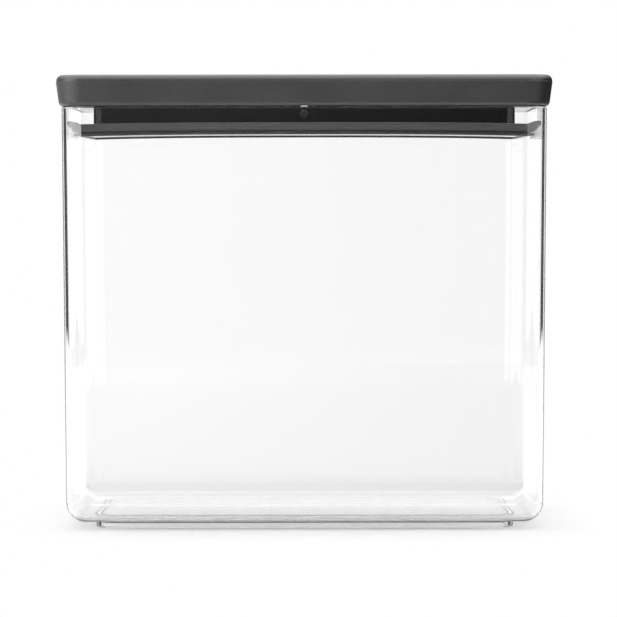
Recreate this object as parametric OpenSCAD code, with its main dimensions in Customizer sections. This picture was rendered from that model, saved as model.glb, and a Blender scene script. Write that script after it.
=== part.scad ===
// Lidded storage canister: a clear moulded vessel with a foot ring, and a push-on lid that seals with a
// soft wiper ring. Millimetres, +Z up, origin under the middle of the foot ring. An inset is a distance
// from the rim's outside in. Every rounded rectangle is a profile swept round its own corner centres, so
// its faces are true planes, cones and tori.

/* [Vessel] */
// Outer width at the rim
vessel_w = 173.9; // [130:0.1:240]
// Outer depth at the rim
vessel_d = 103.1; // [85:0.1:170]
// Height of the rim above the table
vessel_h = 151.5; // [60:0.5:260]
// Wall thickness
wall = 1.55; // [1.2:0.05:2.2]
// How far each wall leans in from the rim to the base
draft = 1.2; // [0.4:0.1:1.6]
// Outer corner radius at the rim, seen from above
corner_r = 7.4; // [7.4:0.1:12]
// Outer radius between the walls and the base
base_r = 6.2; // [4:0.1:9]
// Floor thickness
floor_t = 1.6; // [1.4:0.1:4]
// Rounding on both edges of the rim
rim_r = 0.4; // [0.2:0.05:0.8]

/* [Foot ring] */
// Height of the foot ring
foot_h = 2.6; // [1.6:0.1:5]
// Inset of the foot ring
foot_inset = 11.4; // [9:0.05:20]
// Width of the ring's sole
foot_w = 1.8; // [1.6:0.1:5]
// Corner radius of the ring, seen from above
foot_corner_r = 7.0; // [6:0.1:10]
// Rounding on the ring's lower edges
foot_edge_r = 0.6; // [0.2:0.1:0.8]

/* [Lid cap] */
// Height of the cap
cap_h = 11.4; // [9.5:0.1:18]
// How far the cap's widest line stands out past the rim
cap_overhang = 1.95; // [1.2:0.05:3]
// How far the side leans in from the widest line to the bottom
cap_lean = 1.2; // [0.4:0.1:1.6]
// Distance from the top down to the parting line, where the side is widest
cap_parting = 2.4; // [1.6:0.1:4]
// Radius of the top edge
cap_top_r = 2.3; // [1:0.1:4]
// Radius of the bottom edge
cap_bottom_r = 1.9; // [0.4:0.1:1.9]
// Thickness of the cap's side at the bottom
cap_side_t = 2.15; // [1.8:0.05:2.6]
// Thickness of the cap's top under the recess
cap_top_t = 2.0; // [1.4:0.1:3]
// Depth of the recess that takes the foot ring of a canister stacked on top
recess_depth = 1.6; // [0.8:0.1:2.2]
// Clearance round a foot ring in the recess
recess_clear = 1.5; // [0.5:0.1:2.5]
// Radius at the foot of the recess wall
recess_r = 0.7; // [0.2:0.1:1]
// Radius inside the cap, between its side and its top
cap_inside_r = 0.5; // [0.2:0.1:1]

/* [Collar] */
// Inset of the collar's outer face
collar_inset = 11.15; // [9:0.05:16]
// Thickness of the collar's wall
collar_wall = 2.0; // [1.5:0.1:2.6]
// Corner radius of the collar, seen from above
collar_corner_r = 3.0; // [1:0.1:5]
// Thickness of the collar's flange, which closes the cap from below
flange_t = 1.6; // [1.2:0.1:2.4]
// How far the flange reaches under the step in the cap's side
flange_seat = 1.0; // [0.6:0.1:1.6]
// Thickness of the lower flange, which keeps the seal on its seat
keeper_t = 0.8; // [0.6:0.1:1.2]
// Inset of the lower flange's edge
keeper_inset = 6.2; // [5.6:0.1:6.8]
// Distance from the rim down to the middle of the stud holes
stud_drop = 2.5; // [2.2:0.1:3.2]

/* [Seal carrier] */
// Distance from the rim down to the bottom of the lip
plug_depth = 10.5; // [10:0.1:16]
// Thickness of the lip under the seal
lip_t = 1.07; // [0.8:0.01:1.6]
// Gap from the lip's edge to the vessel's inner wall
lip_gap = 2.9; // [2:0.1:3.6]
// How far the plate is set up from the lip's bottom
plate_rise = 0.5; // [0.2:0.05:0.8]
// Thickness of the plate
plate_t = 1.5; // [1.2:0.1:2.4]
// Inset of the seat that the seal fits round
seat_inset = 7.1; // [6.6:0.1:7.1]
// Height of the seat above the lip
seat_h = 2.1; // [1.9:0.1:3]
// Thickness of the upstand inside the collar
upstand_wall = 1.5; // [1.2:0.1:2]
// Diameter of the studs that click into the collar's round holes
stud_d = 3.0; // [2:0.1:3.2]
// How far a stud's face stays behind the collar's face
stud_sink = 0.25; // [0.1:0.05:0.6]
// Radius round a stud's face
stud_edge_r = 0.4; // [0.1:0.1:0.6]
// Width of the springy tongue that carries a stud
tongue_w = 9.0; // [6:0.5:16]
// Width of the cut on each side of a tongue
tongue_cut = 1.0; // [0.6:0.1:2]

/* [Wiper seal] */
// Gap from the skirt's tip to the vessel's inner wall
seal_gap = 0.15; // [0.1:0.05:0.4]
// Height of the skirt
skirt_h = 2.9; // [2.4:0.1:4]
// How far the skirt flares out from its root to its tip
skirt_flare = 2.6; // [2:0.1:3]
// Thickness of the skirt at its tip
skirt_tip_t = 0.5; // [0.4:0.05:0.8]
// Radius of the two edges of the tip
tip_edge_r = 0.15; // [0.05:0.05:0.15]
// Radius of the bends at the skirt's root
root_edge_r = 0.3; // [0.1:0.1:0.4]
// Gap between the lip and the skirt, a dark groove from outside
groove_h = 0.35; // [0.2:0.05:0.6]
// Width of that groove from the lip's edge in
groove_w = 0.7; // [0.4:0.1:1.2]

/* [Keys] */
// Width of the slot that each key lies in
slot_w = 2.6; // [2:0.1:5]
// Height of that slot
slot_h = 0.65; // [0.5:0.05:0.8]
// Thickness of the posts under the cap that the keys lock into
post_t = 2.8; // [2:0.1:4]
// Width of a post
post_w = 7.0; // [6:0.5:12]
// How far a post reaches below its key
post_below = 1.5; // [1:0.1:3]
// How far a key's end stays behind the cap's side
key_sink = 0.5; // [0.1:0.1:1]

/* [Fits] */
// Clearance between pieces that clip or slide together
fit_gap = 0.1; // [0.05:0.05:0.15]
// Clearance between the seal and what holds it
seal_fit = 0.05; // [0.05:0.05:0.1]
// Clearance between the cap and the rim
rim_gap = 0.1; // [0.05:0.05:0.3]

/* [Hidden] */
$fn = 96;
// How far a cutter runs past the face it opens
past = 1;
// The smallest corner radius, and the least flat left beside a fillet
least_r = 0.3;
least_flat = 0.1;

// Levels
floor_top = foot_h + floor_t;
lip_bottom = vessel_h - plug_depth;
lip_top = lip_bottom + lip_t;
plate_top = lip_bottom + plate_rise + plate_t;
skirt_bottom = lip_top + groove_h;
skirt_top = skirt_bottom + skirt_h;
seat_top = lip_top + seat_h;
cap_bottom = vessel_h + rim_gap;
cap_top = cap_bottom + cap_h;
flange_top = cap_bottom + flange_t;
recess_floor = cap_top - recess_depth;
cap_ceiling = recess_floor - cap_top_t;
stud_z = vessel_h - stud_drop;
slot_top = cap_bottom + slot_h;
upstand_top = cap_bottom - 2 * fit_gap;
post_bottom = cap_bottom - post_below;

// Radii of the vessel from its corner centres, which the cap, the lip and the seal share
wall_slope = draft / (vessel_h - foot_h);
function outer_r(z) = corner_r - wall_slope * (vessel_h - z);
function inner_r(z) = outer_r(z) - wall;
base_fillet = min(base_r, outer_r(foot_h) - 2 * least_flat);
inner_fillet = min(base_fillet - wall, inner_r(floor_top) - least_flat);
rim_fillet = min(rim_r, wall / 2 - least_flat);
foot_fillet = min(foot_edge_r, foot_w / 2 - least_flat);
cap_widest_r = corner_r + cap_overhang;
cap_top_fillet = min(cap_top_r, cap_parting - least_flat);
cap_bottom_fillet = min(cap_bottom_r, cap_side_t - 2 * least_flat);
cap_inner_r = cap_widest_r - cap_lean - cap_side_t;
lip_r = inner_r(lip_top) - lip_gap;
tip_r = inner_r(skirt_top) - seal_gap;
root_r = tip_r - skirt_flare;

// Depths behind the collar's outer face, at the middle of a long side
cap_face = cap_lean - cap_overhang - collar_inset;
upstand_face = collar_wall + fit_gap;
post_face = upstand_face + upstand_wall + fit_gap;
post_back = post_face + post_t;

// Corner centres of a rounded rectangle with this inset and corner radius
function centres(inset, r) = [vessel_w / 2 - inset - r, vessel_d / 2 - inset - r];
// Corner radius that keeps an edge parallel to the vessel's corner, as far as it can
function corner_at(inset) = max(corner_r - inset, least_r);
main = centres(0, corner_r);
foot = centres(foot_inset, foot_corner_r);

function unit(v) = v / norm(v);
function at(p) = [p[0], p[1]];

// The bit between a sharp corner and the arc that rounds it. It runs a little past the corner, so that
// a cut is clean
module corner_bit(p, before, after, r) {
    a = unit(before - p);
    b = unit(after - p);
    half = acos(a * b) / 2;
    centre = p + unit(a + b) * r / sin(half);
    difference() {
        polygon([p + a * r / tan(half), p + (p - centre) / 4, p + b * r / tan(half), centre]);
        translate(centre) circle(r);
    }
}

// The corner bits of a profile's hollow corners (way = -1) or of its outward ones (way = 1)
module corner_bits(points, way) {
    n = len(points);
    for (i = [0 : n - 1]) {
        p = at(points[i]);
        before = at(points[(i + n - 1) % n]);
        after = at(points[(i + 1) % n]);
        if (points[i][2] > 0 && sign(cross(p - before, after - p)) == way)
            corner_bit(p, before, after, points[i][2]);
    }
}

// A polygon of [r, z, fillet] points, counter-clockwise, with true arcs at its corners
module profile(points) {
    difference() {
        union() {
            polygon([for (p = points) at(p)]);
            corner_bits(points, -1);
        }
        corner_bits(points, 1);
    }
}

// Sweeps a profile, drawn as distance from the corner centres against height, round a rounded rectangle
module sweep(centre) {
    cx = centre[0];
    cy = centre[1];
    for (quarter = [0 : 3])
        rotate(quarter * 90)
            translate(quarter % 2 == 0 ? [cx, cy, 0] : [cy, cx, 0])
                rotate_extrude(angle = 90) children();
    for (half_turn = [0, 180])
        rotate(half_turn) {
            translate([-cx, cy, 0]) rotate([90, 0, 90]) linear_extrude(2 * cx) children();
            translate([cx, cy, 0]) rotate([90, 0, 0]) linear_extrude(2 * cy) children();
        }
}

// The rectangle between the corner centres, which fills the middle of a swept plate
module middle(centre, bottom, top) {
    translate([-centre[0], -centre[1], bottom])
        cube([2 * centre[0], 2 * centre[1], top - bottom]);
}

// A flat plate with rounded corners
module plate(inset, r, bottom, top) {
    sweep(centres(inset, r)) translate([0, bottom]) square([r, top - bottom]);
    middle(centres(inset, r), bottom, top);
}

// A straight tube between two rounded rectangles
module tube(inset, r, thick, bottom, top) {
    difference() {
        plate(inset, r, bottom, top);
        plate(inset + thick, max(r - thick, least_r), bottom - past, top + past);
    }
}

// A box centred on X that starts at this depth behind the collar's face
module block(width, front, back, bottom, top) {
    translate([-width / 2, front, bottom]) cube([width, back - front, top - bottom]);
}

// Places its children behind the collar's outer face, at the middle of the front and rear sides
module long_sides() {
    for (half_turn = [0, 180])
        rotate(half_turn) translate([0, collar_inset - vessel_d / 2, 0]) children();
}

module vessel_shell() {
    sweep(main) profile([
        [0, foot_h, 0],
        [outer_r(foot_h), foot_h, base_fillet],
        [corner_r, vessel_h, rim_fillet],
        [corner_r - wall, vessel_h, rim_fillet],
        [inner_r(floor_top), floor_top, inner_fillet],
        [0, floor_top, 0]
    ]);
    middle(main, foot_h, floor_top);
}

module foot_ring() {
    sweep(foot) profile([
        [foot_corner_r - foot_w, 0, foot_fillet],
        [foot_corner_r, 0, foot_fillet],
        [foot_corner_r, foot_h + floor_t / 2, 0],
        [foot_corner_r - foot_w, foot_h + floor_t / 2, 0]
    ]);
}

module canister_body() {
    color([0.86, 0.9, 0.92, 0.35]) {
        vessel_shell();
        foot_ring();
    }
}

module cap_shell() {
    sweep(main) profile([
        [cap_inner_r, cap_bottom, 0],
        [cap_widest_r - cap_lean, cap_bottom, cap_bottom_fillet],
        [cap_widest_r, cap_top - cap_parting, 0],
        [cap_widest_r, cap_top, cap_top_fillet],
        [0, cap_top, 0],
        [0, cap_ceiling, 0],
        [cap_inner_r - flange_seat, cap_ceiling, cap_inside_r],
        [cap_inner_r - flange_seat, flange_top, 0],
        [cap_inner_r, flange_top, 0]
    ]);
    middle(main, cap_ceiling, cap_top);
}

// The recess is as wide as a foot ring and its clearance, and shares the ring's corner centres
module stacking_recess() {
    recess_corner_r = foot_corner_r + recess_clear;
    sweep(foot) profile([
        [0, recess_floor, 0],
        [recess_corner_r, recess_floor, recess_r],
        [recess_corner_r, cap_top + past, 0],
        [0, cap_top + past, 0]
    ]);
    middle(foot, recess_floor, cap_top + past);
}

module lid_cap() {
    color([0.27, 0.27, 0.28]) {
        difference() {
            cap_shell();
            stacking_recess();
            long_sides() block(slot_w, cap_face - past, 0, cap_bottom - past, slot_top);
        }
        long_sides() difference() {
            block(post_w, post_face, post_back, post_bottom, cap_ceiling + cap_top_t / 2);
            block(slot_w, post_face - past, post_back + past, cap_bottom, slot_top);
        }
    }
}

module lid_collar() {
    color([0.12, 0.12, 0.13])
        difference() {
            union() {
                tube(collar_inset, collar_corner_r, collar_wall, seat_top, flange_top);
                flange_inset = corner_r - cap_inner_r + fit_gap;
                tube(flange_inset, corner_at(flange_inset), collar_inset + collar_wall / 2 - flange_inset,
                    cap_bottom, flange_top);
                tube(keeper_inset, corner_at(keeper_inset), collar_inset + collar_wall / 2 - keeper_inset,
                    seat_top, seat_top + keeper_t);
            }
            long_sides() {
                translate([0, -past, stud_z]) rotate([-90, 0, 0])
                    cylinder(h = collar_wall + 2 * past, d = stud_d + 2 * fit_gap);
                block(slot_w, cap_face, collar_wall + past, cap_bottom - fit_gap, slot_top);
            }
        }
}

// A round stud with a softened face, on a tongue cut free of the upstand
module stud() {
    translate([0, upstand_face + upstand_wall / 2, stud_z]) rotate([90, 0, 0])
        rotate_extrude() profile([
            [0, 0, 0],
            [stud_d / 2, 0, 0],
            [stud_d / 2, upstand_face + upstand_wall / 2 - stud_sink, stud_edge_r],
            [0, upstand_face + upstand_wall / 2 - stud_sink, 0]
        ]);
}

module seal_carrier() {
    upstand_inset = collar_inset + upstand_face;
    upstand_corner_r = max(collar_corner_r - upstand_face, least_r);
    plate_inset = upstand_inset + upstand_wall;
    color([0.16, 0.16, 0.17]) {
        difference() {
            union() {
                plate(corner_r - lip_r, lip_r, lip_bottom, lip_top);
                plate(seat_inset, corner_at(seat_inset), lip_top, seat_top);
                plate(upstand_inset, upstand_corner_r, lip_top, upstand_top);
            }
            plate(seat_inset, corner_at(seat_inset), lip_bottom - past, lip_bottom + plate_rise);
            plate(plate_inset, least_r, plate_top, upstand_top + past);
            long_sides() for (side = [-1, 1])
                translate([side * (tongue_w + tongue_cut) / 2, 0, 0])
                    block(tongue_cut, collar_wall, post_face, seat_top, upstand_top + past);
        }
        long_sides() stud();
    }
}

module wiper_seal() {
    seat_r = corner_at(seat_inset) + seal_fit;
    color([0.3, 0.3, 0.31])
        sweep(main) profile([
            [seat_r, lip_top + seal_fit, 0],
            [lip_r - groove_w, lip_top + seal_fit, 0],
            [lip_r - groove_w, skirt_bottom, 0],
            [root_r, skirt_bottom, root_edge_r],
            [tip_r, skirt_top, tip_edge_r],
            [tip_r - skirt_tip_t, skirt_top, tip_edge_r],
            [root_r - skirt_tip_t, seat_top - seal_fit, root_edge_r],
            [seat_r, seat_top - seal_fit, 0]
        ]);
}

// Each key runs from a notch in the cap's lower edge, under the collar's flange and through its wall, into a
// post under the cap
module collar_keys() {
    color([0.9, 0.9, 0.88])
        long_sides()
            block(slot_w - 2 * fit_gap, cap_face + key_sink, post_back,
                cap_bottom + fit_gap / 2, slot_top - fit_gap / 2);
}

canister_body();
lid_cap();
lid_collar();
seal_carrier();
wiper_seal();
collar_keys();
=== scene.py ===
# %% [markdown]
# # A clear storage canister with a push-on lid
#
# The canister is a clear moulded vessel. Its lid is four dark pieces: a matt cap, a collar, a seal carrier
# and a soft wiper ring. Two round studs hold the carrier to the collar, and two pale keys lock the collar to
# the cap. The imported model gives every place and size, and this lesson rebuilds each piece with softer edges
# and finer curves, then gives it a finish.

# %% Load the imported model
import math

import bmesh
import bpy
from mathutils import Matrix, Vector


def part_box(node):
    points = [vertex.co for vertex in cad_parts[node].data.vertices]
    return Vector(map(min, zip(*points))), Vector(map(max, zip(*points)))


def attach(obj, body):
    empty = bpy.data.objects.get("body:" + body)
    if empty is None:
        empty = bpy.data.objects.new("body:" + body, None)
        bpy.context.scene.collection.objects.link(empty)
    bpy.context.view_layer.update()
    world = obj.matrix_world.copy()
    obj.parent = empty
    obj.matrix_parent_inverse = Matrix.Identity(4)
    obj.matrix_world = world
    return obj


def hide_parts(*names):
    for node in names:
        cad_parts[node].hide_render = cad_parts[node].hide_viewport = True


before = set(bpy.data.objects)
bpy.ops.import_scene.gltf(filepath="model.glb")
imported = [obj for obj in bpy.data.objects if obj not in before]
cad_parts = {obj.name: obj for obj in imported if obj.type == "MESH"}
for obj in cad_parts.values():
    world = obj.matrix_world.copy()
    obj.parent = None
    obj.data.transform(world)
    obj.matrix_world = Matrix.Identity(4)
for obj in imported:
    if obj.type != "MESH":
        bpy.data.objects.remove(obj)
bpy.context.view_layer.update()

MM = 0.001

# %% [markdown]
# ## The camera
#
# A product picture of a wide flat-sided object is taken from far off with a long lens, so that the side
# walls hardly show. The camera stands a little below the lid's height and looks slightly down. A tripod is
# never quite level, so a trace of roll is left in.

# %% Camera
CAMERA_DISTANCE = 1.26
CAMERA_HEIGHT = 0.125
CAMERA_LENS = 206.2
SENSOR_WIDTH = 36
LOOK_DOWN = math.radians(2.063)
LOOK_RIGHT = math.radians(0.065)
LEVEL_ERROR = math.radians(-0.07)

vessel_low, vessel_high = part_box("canister_body")
camera = bpy.data.objects.new("camera", bpy.data.cameras.new("camera"))
bpy.context.scene.collection.objects.link(camera)
bpy.context.scene.camera = camera
camera.data.lens = CAMERA_LENS
camera.data.sensor_width = SENSOR_WIDTH
camera.location = (0, vessel_low.y - CAMERA_DISTANCE, CAMERA_HEIGHT)
turn = Matrix.Rotation(-LOOK_RIGHT, 4, "Z") @ Matrix.Rotation(math.pi / 2 - LOOK_DOWN, 4, "X")
camera.rotation_euler = (turn @ Matrix.Rotation(LEVEL_ERROR, 4, "Z")).to_euler()
print("camera at", [round(c, 3) for c in camera.location])

# %% [markdown]
# ## Small tools for materials
#
# Colours are written as hex values, as a paint chart gives them, and a shader wants them linear. One helper
# adds a node with its settings and links, so that a material reads as a list of what feeds what.


# %% Material tools
def to_linear(hex_colour):
    """The linear colour of an sRGB hex value such as 4A4A4B."""
    channels = [int(hex_colour[i:i + 2], 16) / 255 for i in (0, 2, 4)]
    return [c / 12.92 if c <= 0.04045 else ((c + 0.055) / 1.055) ** 2.4 for c in channels] + [1]


def add(tree, kind, inputs=(), **settings):
    """Adds a node. Each input is a value, or a socket to link."""
    node = tree.nodes.new(kind)
    for name, value in settings.items():
        setattr(node, name, value)
    for name, value in dict(inputs).items():
        if isinstance(value, bpy.types.NodeSocket):
            tree.links.new(value, node.inputs[name])
        else:
            node.inputs[name].default_value = value
    return node


def new_material(name):
    """An empty material, and its node tree."""
    material = bpy.data.materials.new(name)
    material.use_nodes = True
    material.node_tree.nodes.clear()
    return material, material.node_tree


def finish_material(material, shader):
    """Links a shader to the material's output."""
    add(material.node_tree, "ShaderNodeOutputMaterial", {"Surface": shader})
    print("material", material.name)
    return material


# %% [markdown]
# ## The studio
#
# Clear plastic has no colour of its own: it draws its edges with what it bends and mirrors. A photographer
# stands white and black boards round it for that. Here the boards are painted on the world, by direction,
# because a painted board can be as near or as large as it needs to be and never gets in the way.
#
# A level is how bright a board is, and 1 is white. A patch is a board: an axis, where along it the board
# begins, where it is complete, and its level. A later patch covers an earlier one.

# %% Painting by direction
world = bpy.data.worlds.new("studio")
bpy.context.scene.world = world
world.use_nodes = True
world.cycles.sampling_method = "NONE"
sky = world.node_tree
sky.nodes.clear()
towards = add(sky, "ShaderNodeSeparateXYZ",
              {"Vector": add(sky, "ShaderNodeTexCoord").outputs["Generated"]}).outputs


def paint_patches(level, patches):
    """Paints patches of the room over a level."""
    for axis, begins, complete, value in patches:
        mask = add(sky, "ShaderNodeMapRange", {"Value": towards[axis], "From Min": begins,
                   "From Max": complete}, interpolation_type="SMOOTHSTEP").outputs[0]
        level = add(sky, "ShaderNodeMix", {"Factor": mask, "A": level, "B": value}).outputs[0]
    return level


print("the world is painted along", ", ".join(towards.keys()))

# %% [markdown]
# The polished walls mirror the first room. It is white behind and dark at the sides, which draws the thin
# dark lines at the corners. In front, a dark board stands between two bright ones, whose reflections run
# down the sides of the vessel. A ray that has passed more than three surfaces comes off the rear wall, and
# finds the bright boards dimmer and further out.

# %% The room that polished walls mirror
WHITE = 1.0
SIDE_LEVEL = 0.04
ROOF_LEVEL = 0.6
GAP_LEFT, GAP_RIGHT = 0.16, 0.08
LEFT_LEVEL, RIGHT_LEVEL = 3.7, 1.3
DEEP_LEVEL = 1.2
THREE_SURFACES = 3.5

DARK_BOARD = [("X", -0.06, 0.06, GAP_RIGHT)]
BRIGHT_BOARDS = [("X", -0.063, -0.075, LEFT_LEVEL), ("X", 0.063, 0.075, RIGHT_LEVEL)]
DEEP_BOARDS = [("X", -0.1, -0.14, DEEP_LEVEL), ("X", 0.1, 0.14, DEEP_LEVEL)]
OVER_THE_BOARDS = [("Z", 0.04, 0.08, GAP_LEFT)]

sky_rays = add(sky, "ShaderNodeLightPath").outputs
near = paint_patches(GAP_LEFT, DARK_BOARD + BRIGHT_BOARDS + OVER_THE_BOARDS)
deep = paint_patches(GAP_LEFT, DARK_BOARD + DEEP_BOARDS + OVER_THE_BOARDS)
from_rear = add(sky, "ShaderNodeMath", {0: sky_rays["Transmission Depth"], 1: THREE_SURFACES},
                operation="GREATER_THAN").outputs[0]
front = add(sky, "ShaderNodeMix", {"Factor": from_rear, "A": near, "B": deep}).outputs[0]
mirrored_room = paint_patches(WHITE, [
    ("X", 0.45, 0.55, SIDE_LEVEL), ("X", -0.45, -0.55, SIDE_LEVEL),
    ("Y", 0.1, -0.1, front), ("Z", 0.72, 0.85, ROOF_LEVEL)])
print("polished walls mirror levels from", SIDE_LEVEL, "to", LEFT_LEVEL)

# %% [markdown]
# The dark lid is dull, and a dull surface blurs what it mirrors. It gets a soft room of its own, with a large
# bright board far to the left, a weaker one to the right and a bright ceiling. That gives the lid its fall of
# light from left to right and the pale line along its top edge. What is seen straight through the walls is a
# plain white that falls off a little upwards and to the right.

# %% The soft room, and what is seen straight through
SOFT_FAR_LEFT, SOFT_LEFT, SOFT_RIGHT, SOFT_FAR_RIGHT, SOFT_END = 6.0, 0.95, 0.0, 2.6, 0.0
BEHIND_LEFT, BEHIND_RIGHT = 0.6, 0.0
CEILING_LEVEL = 4.5
THROUGH_LEFT, THROUGH_RIGHT, THROUGH_HIGH = 1.13, 1.09, 0.93

seen_through_walls = paint_patches(THROUGH_LEFT, [
    ("X", -0.08, 0.08, THROUGH_RIGHT), ("Z", 0.03, 0.15, THROUGH_HIGH)])
behind = paint_patches(BEHIND_LEFT, [("X", -0.3, 0.3, BEHIND_RIGHT)])
soft_room = paint_patches(SOFT_LEFT, [
    ("X", -0.2, 0.2, SOFT_RIGHT), ("X", -0.3, -0.7, SOFT_FAR_LEFT),
    ("X", 0.15, 0.4, SOFT_FAR_RIGHT), ("X", 0.75, 0.95, SOFT_END),
    ("Y", -0.3, 0.1, behind), ("Z", 0.3, 0.9, CEILING_LEVEL)])
print("the soft room has levels from", SOFT_END, "to", SOFT_FAR_LEFT)

# %% [markdown]
# Light Path tells what kind of ray asks, and the later kinds in the list below win. A depth counts the
# surfaces of that kind that the ray has met. It is a whole number, so under a half means none, and under one
# and a half means one at most.

# %% Each kind of ray gets its room
DIFFUSE_LEVEL = 0.75
NONE_YET = 0.5
ONE_AT_MOST = 1.5

never_mirrored = add(sky, "ShaderNodeMath", {0: sky_rays["Glossy Depth"], 1: NONE_YET},
                     operation="LESS_THAN").outputs[0]
straight = add(sky, "ShaderNodeMath", {0: never_mirrored, 1: sky_rays["Is Transmission Ray"]},
               operation="MULTIPLY").outputs[0]
blurred = add(sky, "ShaderNodeMath", {0: sky_rays["Is Glossy Ray"], 1: sky_rays["Is Singular Ray"]},
              operation="GREATER_THAN").outputs[0]
level = mirrored_room
for kind_of_ray, seen in [(sky_rays["Is Diffuse Ray"], DIFFUSE_LEVEL), (blurred, soft_room),
                          (straight, seen_through_walls), (sky_rays["Is Camera Ray"], WHITE)]:
    level = add(sky, "ShaderNodeMix", {"Factor": kind_of_ray, "A": level, "B": seen}).outputs[0]
sky_light = add(sky, "ShaderNodeBackground", {"Color": (1, 1, 1, 1), "Strength": level})
add(sky, "ShaderNodeOutputWorld", {"Surface": sky_light.outputs[0]})
print("world painted with", len(sky.nodes), "nodes")

# %% [markdown]
# The lamps are soft boxes. A large one hangs overhead and lights the lid's top and the table, and a smaller
# one stands at the front left. No mirror sees them, because the painted boards do that work.

# %% Lamps
OBJECT_MIDDLE = (0, 0, 0.08)


def soft_box(name, place, width, height, radiance):
    """An area lamp of this radiance, turned to the middle of the object."""
    lamp = bpy.data.lights.new(name, "AREA")
    lamp.shape = "RECTANGLE"
    lamp.size, lamp.size_y = width, height
    lamp.energy = radiance * math.pi * width * height
    holder = bpy.data.objects.new(name, lamp)
    bpy.context.scene.collection.objects.link(holder)
    holder.location = place
    holder.rotation_euler = (Vector(OBJECT_MIDDLE) - Vector(place)).to_track_quat("-Z", "Y").to_euler()
    holder.visible_camera = holder.visible_glossy = holder.visible_transmission = False
    print("lamp", name, round(lamp.energy, 2), "W")


soft_box("overhead_box", place=(-0.1, 0.1, 1.1), width=0.8, height=0.6, radiance=2.0)
soft_box("left_box", place=(-1.0, -0.8, 0.6), width=0.6, height=0.6, radiance=2.0)

# %% [markdown]
# ## The table
#
# The table is a plain sheet of white matt paper. Paper is pressed from short fibres, which scatter light
# evenly, so it has no gloss and keeps a soft shadow. Its fibres are a few hundredths of a millimetre wide, so
# their grain is drawn as coarse as 2.5 mm to show at all. Where the eye meets the paper, or a ray through the
# plastic does, a little light of its own lifts it to white.

# %% Paper
PAPER_GRAIN_MM = 2.5
SEEN_LIFT = 0.12
THROUGH_LIFT = 0.35

paper, tree = new_material("white_matt_paper")
paper_rays = add(tree, "ShaderNodeLightPath").outputs
on_table = add(tree, "ShaderNodeTexCoord").outputs["Object"]
fibres = add(tree, "ShaderNodeTexNoise", {"Vector": on_table, "Scale": 1 / (PAPER_GRAIN_MM * MM),
             "Detail": 3.0}).outputs[0]
paper_tone = add(tree, "ShaderNodeMix", {"Factor": fibres, "A": to_linear("F2F2F2"),
                 "B": to_linear("F6F6F6")}, data_type="RGBA").outputs[2]
sheet = add(tree, "ShaderNodeBsdfDiffuse", {"Color": paper_tone})
lift = add(tree, "ShaderNodeMath", {0: paper_rays["Is Camera Ray"], 1: SEEN_LIFT},
           operation="MULTIPLY").outputs[0]
lift = add(tree, "ShaderNodeMath", {0: paper_rays["Is Transmission Ray"], 1: THROUGH_LIFT, 2: lift},
           operation="MULTIPLY_ADD").outputs[0]
glow = add(tree, "ShaderNodeEmission", {"Strength": lift})
shaded_paper = add(tree, "ShaderNodeAddShader", {0: sheet.outputs[0], 1: glow.outputs[0]})
print("paper grain of", PAPER_GRAIN_MM, "mm")

# %% [markdown]
# A few centimetres out from the canister the shadow is gone, and the paper fades to a plain level of its own,
# so that it has no edge against the white room. Seen through the plastic, that level rises with distance and
# falls a little from left to right.

# %% Plain paper further out
SHADOW_CORE = (0.055, 0.04, 0)
SHADOW_REACH = 0.05
NEAR_AWAY, SEEN_FAR_AWAY = 0.15, 0.95
NEAR_SEEN_THROUGH, FAR_SEEN_THROUGH = 0.87, 1.1
SIDE_REACH = 0.09
LEFT_SHARE, RIGHT_SHARE = 1.03, 0.96

spread = add(tree, "ShaderNodeSeparateXYZ", {"Vector": on_table}).outputs
away = add(tree, "ShaderNodeVectorMath", {0: on_table}, operation="LENGTH").outputs["Value"]
outside = add(tree, "ShaderNodeVectorMath", {0: on_table}, operation="ABSOLUTE").outputs[0]
outside = add(tree, "ShaderNodeVectorMath", {0: outside, 1: SHADOW_CORE}, operation="SUBTRACT").outputs[0]
outside = add(tree, "ShaderNodeVectorMath", {0: outside, 1: (0, 0, 0)}, operation="MAXIMUM").outputs[0]
from_shadow = add(tree, "ShaderNodeVectorMath", {0: outside}, operation="LENGTH").outputs["Value"]
plain_share = add(tree, "ShaderNodeMapRange", {"Value": from_shadow, "From Max": SHADOW_REACH}).outputs[0]
unmirrored = add(tree, "ShaderNodeMath", {0: paper_rays["Glossy Depth"], 1: NONE_YET},
                 operation="LESS_THAN").outputs[0]
looked_at = add(tree, "ShaderNodeMath", {0: paper_rays["Is Camera Ray"],
                1: paper_rays["Is Transmission Ray"]}, operation="MAXIMUM").outputs[0]
looked_at = add(tree, "ShaderNodeMath", {0: looked_at, 1: unmirrored}, operation="MULTIPLY").outputs[0]
plain_share = add(tree, "ShaderNodeMath", {0: plain_share, 1: looked_at}, operation="MULTIPLY").outputs[0]
through_level = add(tree, "ShaderNodeMapRange", {
    "Value": away, "From Min": NEAR_AWAY, "From Max": SEEN_FAR_AWAY,
    "To Min": NEAR_SEEN_THROUGH, "To Max": FAR_SEEN_THROUGH}).outputs[0]
side_share = add(tree, "ShaderNodeMapRange", {"Value": spread["X"], "From Min": -SIDE_REACH,
                 "From Max": SIDE_REACH, "To Min": LEFT_SHARE, "To Max": RIGHT_SHARE}).outputs[0]
through_level = add(tree, "ShaderNodeMath", {0: through_level, 1: side_share},
                    operation="MULTIPLY").outputs[0]
plain_level = add(tree, "ShaderNodeMix", {"Factor": paper_rays["Is Camera Ray"], "A": through_level,
                  "B": WHITE}).outputs[0]
plain_paper = add(tree, "ShaderNodeEmission", {"Strength": plain_level})
seen_paper = add(tree, "ShaderNodeMixShader", {0: plain_share, 1: shaded_paper.outputs[0],
                 2: plain_paper.outputs[0]})
print("paper is plain from", SHADOW_REACH / MM, "mm outside the shadow's core")

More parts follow.
